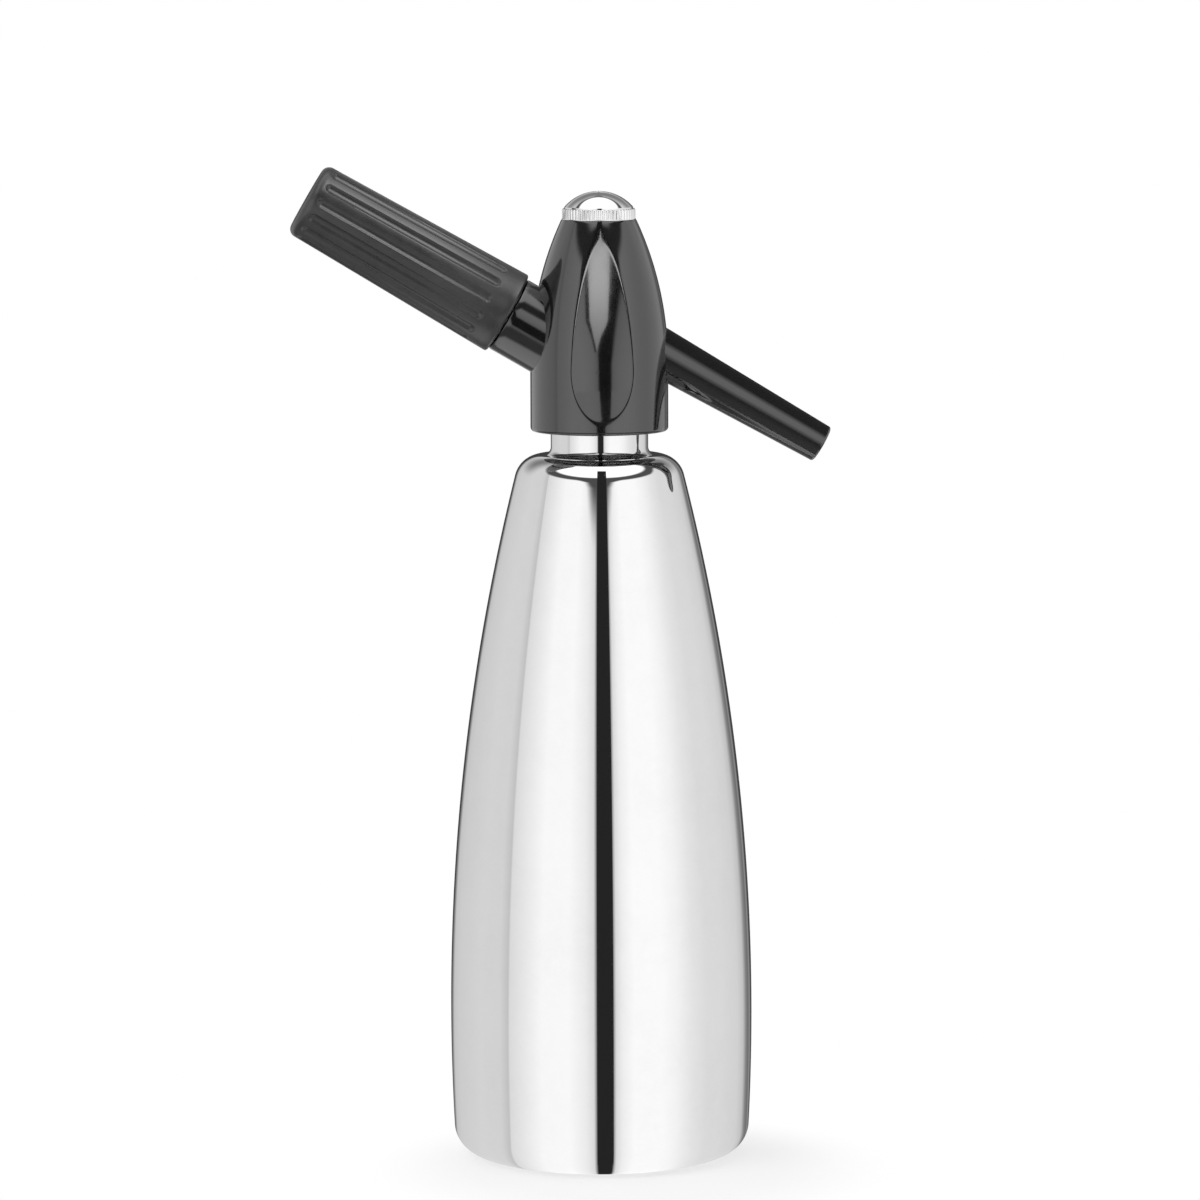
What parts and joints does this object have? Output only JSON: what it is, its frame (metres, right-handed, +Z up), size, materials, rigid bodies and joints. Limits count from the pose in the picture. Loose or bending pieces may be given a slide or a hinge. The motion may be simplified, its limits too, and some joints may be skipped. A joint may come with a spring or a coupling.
{
  "type": "soda siphon",
  "caption": "Polished steel soda siphon with a tapering bottle, a screwed-on black head with push button and spout, and a ribbed gas charger holder on a slanting arm.",
  "frame": {"origin": "centre of the bottle's base, on the surface that it stands on", "axes": "+Z up along the bottle's axis, +X towards the spout, -X towards the charger holder, -Y towards the viewer"},
  "size_m": [0.1778, 0.1, 0.3277],
  "materials": {
    "polished_steel": "mirror-polished stainless steel",
    "bright_chrome": "bright chrome plate",
    "gloss_black": "high-gloss black moulding",
    "satin_black": "satin black moulding",
    "black_rubber": "matt sealing rubber",
    "turned_brass": "turned brass",
    "white_nylon": "natural white moulding",
    "bright_steel": "drawn bright steel"
  },
  "bodies": {
    "bottle": {"bottle_shell": "polished_steel", "neck_collar": "polished_steel"},
    "riser": {"riser_tube": "white_nylon", "tube_hanger": "white_nylon"},
    "gasket": {"head_gasket": "black_rubber"},
    "head": {"head_body": "gloss_black", "inlet_plug": "white_nylon", "riser_seal": "black_rubber", "valve_seat": "turned_brass", "stem_guide": "white_nylon", "stem_seal": "black_rubber", "return_spring": "bright_steel", "button_ring": "bright_chrome", "spout": "gloss_black", "spout_seal": "black_rubber", "charging_arm": "gloss_black", "arm_seal": "black_rubber", "check_valve": "black_rubber", "pin_holder": "turned_brass", "piercing_pin": "bright_steel", "charger_seal": "black_rubber"},
    "button": {"push_button": "bright_chrome", "valve_stem": "bright_steel", "valve_disc": "black_rubber", "stem_nut": "turned_brass"},
    "charger": {"gas_charger": "bright_steel"},
    "pad": {"holder_pad": "black_rubber"},
    "holder": {"charger_holder": "satin_black", "holder_insert": "turned_brass"}
  },
  "joints": [
    {"name": "head_lift_off", "type": "slide", "parent": "bottle", "child": "riser", "axis": [0, 0, 1], "range_m": [0, 0.26]},
    {"name": "head_rise", "type": "slide", "parent": "riser", "child": "gasket", "axis": [0, 0, 1], "range_m": [0, 0.0106]},
    {"name": "head_turn", "type": "hinge", "parent": "gasket", "child": "head", "pos_m": [0, 0, 0.25], "axis": [0, 0, 1], "range_deg": [0, 1260]},
    {"name": "button_press", "type": "slide", "parent": "head", "child": "button", "axis": [0, 0, -1], "range_m": [0, 0.0022], "stiffness_N_per_m": 1500, "springref_m": -0.004, "deforming": ["return_spring"]},
    {"name": "holder_lift_off", "type": "slide", "parent": "head", "child": "charger", "axis": [-0.8643, 0, 0.503], "range_m": [0, 0.08]},
    {"name": "holder_travel", "type": "slide", "parent": "charger", "child": "pad", "axis": [-0.8643, 0, 0.503], "range_m": [0, 0.0126]},
    {"name": "holder_turn", "type": "hinge", "parent": "pad", "child": "holder", "pos_m": [-0.0605, 0, 0.29721], "axis": [-0.8643, 0, 0.503], "range_deg": [0, 2250]}
  ],
  "couplings": [
    {"joint": "head_rise", "follows": "head_turn", "m_per_rad": 0.00047746},
    {"joint": "holder_travel", "follows": "holder_turn", "m_per_rad": 0.00031831}
  ]
}
